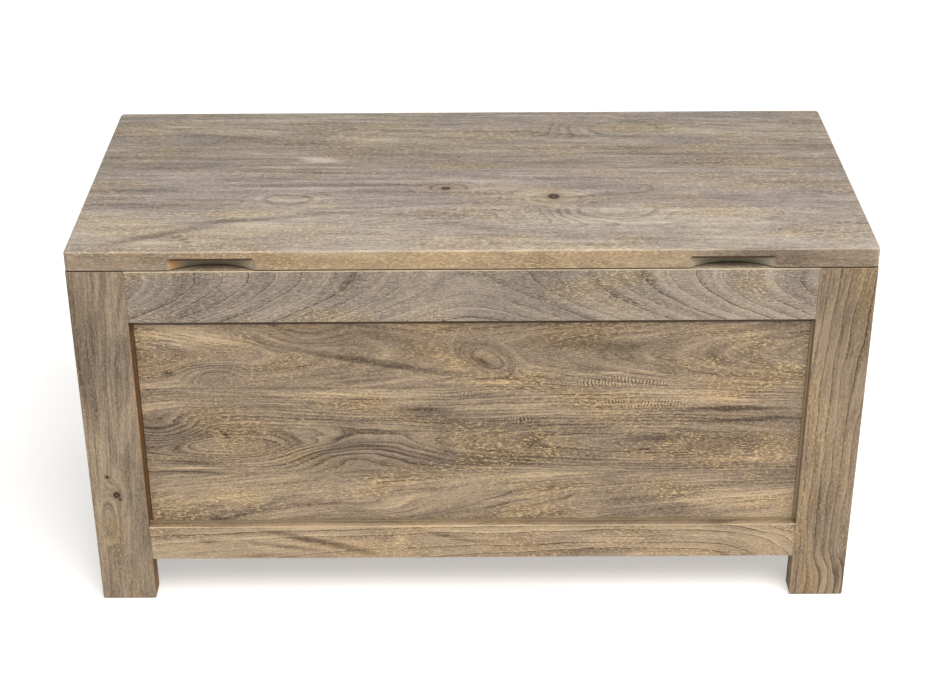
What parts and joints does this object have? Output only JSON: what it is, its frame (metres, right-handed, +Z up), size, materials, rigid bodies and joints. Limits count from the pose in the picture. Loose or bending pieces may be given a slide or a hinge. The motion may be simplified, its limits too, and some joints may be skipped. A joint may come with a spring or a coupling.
{
  "type": "blanket box",
  "caption": "Low frame-and-panel wooden chest on legs, with a flat hinged lid, scooped finger pulls and slotted stays, for storing blankets.",
  "frame": {"origin": "on the floor under the middle of the chest", "axes": "+X along the front to the right, +Y from front to back, +Z up"},
  "size_m": [1, 0.4643, 0.52],
  "materials": {
    "frame_wood": "matt grey-brown stain, eased edges",
    "panel_wood": "matt grey-brown stain, warmer figure",
    "lid_wood": "matt grey-brown stain with knots",
    "inner_wood": "bare planed wood",
    "tongue_wood": "bare planed wood",
    "hinge_steel": "dull bronzed steel",
    "screw_steel": "dull plated steel"
  },
  "bodies": {
    "case": {"back_bottom_rail": "frame_wood", "back_cleat": "inner_wood", "back_left_stile": "frame_wood", "back_panel": "panel_wood", "back_right_stile": "frame_wood", "back_top_rail": "frame_wood", "cleat_screws": "screw_steel", "floor_board_1": "inner_wood", "floor_board_2": "inner_wood", "floor_board_3": "inner_wood", "floor_board_4": "inner_wood", "floor_board_5": "inner_wood", "floor_board_6": "inner_wood", "front_bottom_rail": "frame_wood", "front_cleat": "inner_wood", "front_left_stile": "frame_wood", "front_panel": "panel_wood", "front_right_stile": "frame_wood", "front_top_rail": "frame_wood", "hinge_case_screws": "screw_steel", "left_back_stile": "frame_wood", "left_bottom_rail": "frame_wood", "left_cleat": "inner_wood", "left_front_stile": "frame_wood", "left_hinge_case_leaf": "hinge_steel", "left_hinge_pin": "hinge_steel", "left_panel": "panel_wood", "left_stay_stud": "hinge_steel", "left_top_rail": "frame_wood", "leg_tongues": "tongue_wood", "right_back_stile": "frame_wood", "right_bottom_rail": "frame_wood", "right_cleat": "inner_wood", "right_front_stile": "frame_wood", "right_hinge_case_leaf": "hinge_steel", "right_hinge_pin": "hinge_steel", "right_panel": "panel_wood", "right_stay_stud": "hinge_steel", "right_top_rail": "frame_wood"},
    "lid": {"hinge_lid_screws": "screw_steel", "left_hinge_lid_leaf": "hinge_steel", "left_stay_bracket": "hinge_steel", "left_stay_rivet": "hinge_steel", "lid_batten_screws": "screw_steel", "lid_front_board": "lid_wood", "lid_left_batten": "inner_wood", "lid_rear_board": "lid_wood", "lid_right_batten": "inner_wood", "lid_second_board": "lid_wood", "lid_third_board": "lid_wood", "right_hinge_lid_leaf": "hinge_steel", "right_stay_bracket": "hinge_steel", "right_stay_rivet": "hinge_steel", "stay_screws": "screw_steel"},
    "left_stay": {"left_stay_arm": "hinge_steel"},
    "right_stay": {"right_stay_arm": "hinge_steel"}
  },
  "joints": [
    {"name": "lid_hinge", "type": "hinge", "parent": "case", "child": "lid", "pos_m": [0, 0.2323, 0.4935], "axis": [-1, 0, 0], "range_deg": [0, 95]},
    {"name": "left_stay_pivot", "type": "hinge", "parent": "lid", "child": "left_stay", "pos_m": [-0.465, 0.12124, 0.479], "axis": [-1, 0, 0], "range_deg": [-47.5, 0]},
    {"name": "right_stay_pivot", "type": "hinge", "parent": "lid", "child": "right_stay", "pos_m": [0.465, 0.12124, 0.479], "axis": [-1, 0, 0], "range_deg": [-47.5, 0]}
  ],
  "couplings": [
    {"joint": "left_stay_pivot", "follows": "lid_hinge", "ratio": -0.5},
    {"joint": "right_stay_pivot", "follows": "lid_hinge", "ratio": -0.5}
  ]
}
